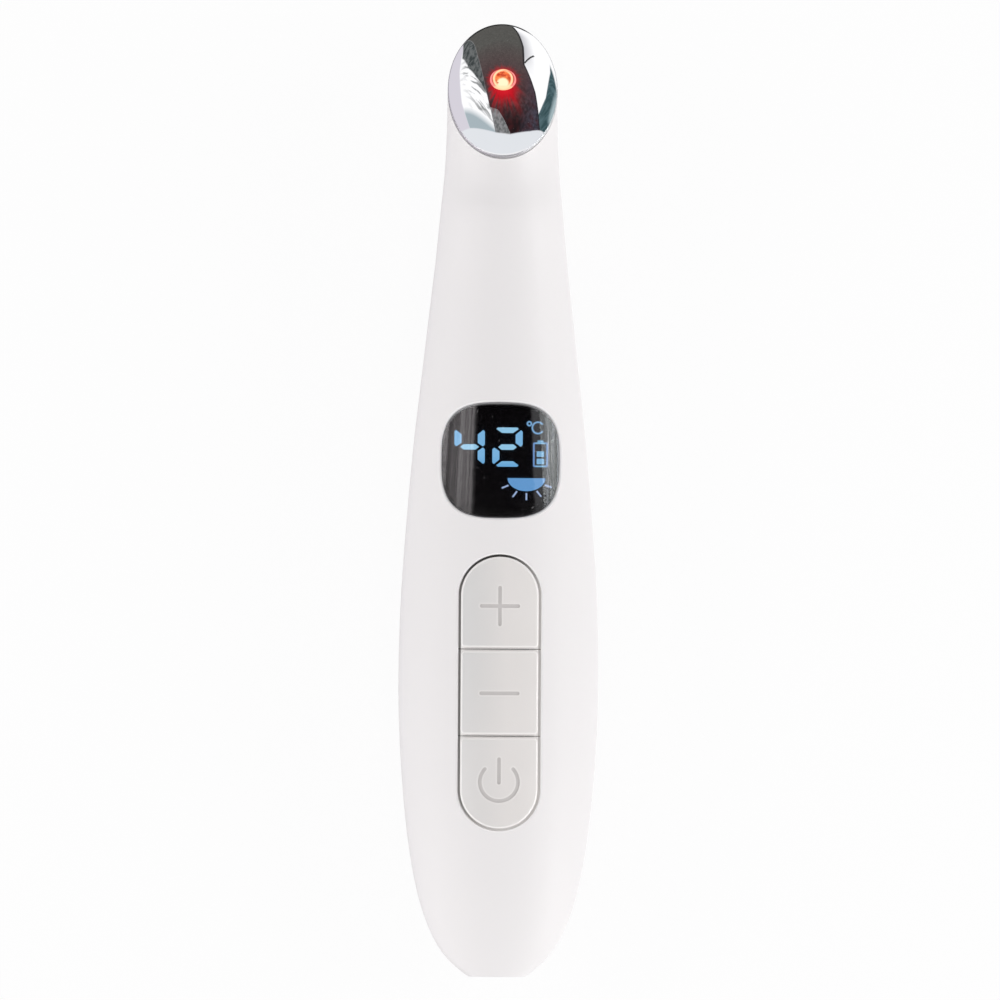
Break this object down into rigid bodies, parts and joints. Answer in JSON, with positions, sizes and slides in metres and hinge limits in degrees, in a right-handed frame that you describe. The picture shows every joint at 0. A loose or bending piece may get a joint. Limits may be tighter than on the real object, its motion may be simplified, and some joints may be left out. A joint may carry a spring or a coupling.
{
  "type": "heated eye massager wand",
  "caption": "Heated eye massager wand: curved white grip with a lit display, three push keys and a tilted polished oval massage plate with a red light.",
  "frame": {"origin": "on the surface the wand lies on, under the middle of its outline", "axes": "+X across the wand, +Y from the tail to the massage head, +Z out of the front face with the keys"},
  "size_m": [0.0304, 0.145, 0.0254],
  "materials": {
    "white_plastic": "satin moulded shell",
    "chrome": "mirror plated",
    "dark_gasket": "matt",
    "heater_film": "polyimide film",
    "carrier_plastic": "matt",
    "bead_black": "matt",
    "circuit_board": "solder resist",
    "led_body": "potted light",
    "led_lens": "clear, lit red from behind",
    "smoked_lens": "polished smoked plastic",
    "black_tape": "matt",
    "display_body": "matt",
    "display_light": "lit pale blue",
    "steel_screws": "zinc plated",
    "chip_black": "matt",
    "tinned_metal": "tinned",
    "chip_parts": "ceramic",
    "battery_foil": "laminated foil",
    "foam_tape": "matt",
    "plug_plastic": "matt",
    "lead_red": "insulation",
    "lead_black": "insulation",
    "lead_white": "insulation",
    "lead_yellow": "insulation",
    "contact_gold": "gold plated",
    "motor_steel": "plated",
    "copper_winding": "enamelled wire",
    "boot_rubber": "matt",
    "key_plastic": "satin moulded key",
    "switch_plastic": "matt",
    "switch_stem": "matt"
  },
  "bodies": {
    "casing": {"front_shell": "white_plastic", "back_shell": "white_plastic", "massage_plate": "chrome", "plate_gasket": "dark_gasket", "heater_film": "heater_film", "head_carrier": "carrier_plastic", "thermistor": "bead_black", "led_board": "circuit_board", "red_led": "led_body", "led_lens": "led_lens", "window_lens": "smoked_lens", "window_tape": "black_tape", "display_module": "display_body", "display_digits": "display_light", "display_icons": "display_light", "main_board": "circuit_board", "board_screws": "steel_screws", "microcontroller": "chip_black", "microcontroller_leads": "tinned_metal", "board_components": "chip_parts", "battery_cell": "battery_foil", "battery_tape": "foam_tape", "battery_plug": "plug_plastic", "battery_lead_red": "lead_red", "battery_lead_black": "lead_black", "port_shell": "tinned_metal", "port_tongue": "bead_black", "port_contacts": "contact_gold", "charge_board": "circuit_board", "charge_leads": "lead_red", "motor_can": "motor_steel", "motor_end_cap": "plug_plastic", "motor_boot": "boot_rubber", "motor_leads": "lead_black", "led_leads": "lead_white", "heater_leads": "lead_yellow", "switch_body_power": "switch_plastic", "switch_body_minus": "switch_plastic", "switch_body_plus": "switch_plastic"},
    "plus_key": {"button_plus": "key_plastic", "switch_stem_plus": "switch_stem"},
    "minus_key": {"button_minus": "key_plastic", "switch_stem_minus": "switch_stem"},
    "power_key": {"button_power": "key_plastic", "switch_stem_power": "switch_stem"},
    "rotor": {"motor_shaft": "motor_steel", "motor_armature": "copper_winding", "motor_weight": "motor_steel"}
  },
  "joints": [
    {"name": "plus_press", "type": "slide", "parent": "casing", "child": "plus_key", "axis": [0, 0, -1], "range_m": [0, 0.0004], "stiffness_N_per_m": 800},
    {"name": "minus_press", "type": "slide", "parent": "casing", "child": "minus_key", "axis": [0, 0, -1], "range_m": [0, 0.0004], "stiffness_N_per_m": 800},
    {"name": "power_press", "type": "slide", "parent": "casing", "child": "power_key", "axis": [0, 0, -1], "range_m": [0, 0.0004], "stiffness_N_per_m": 800},
    {"name": "motor_spin", "type": "hinge", "parent": "casing", "child": "rotor", "pos_m": [0, 0.0385, 0.0125], "axis": [0, 1, 0], "continuous": true}
  ]
}
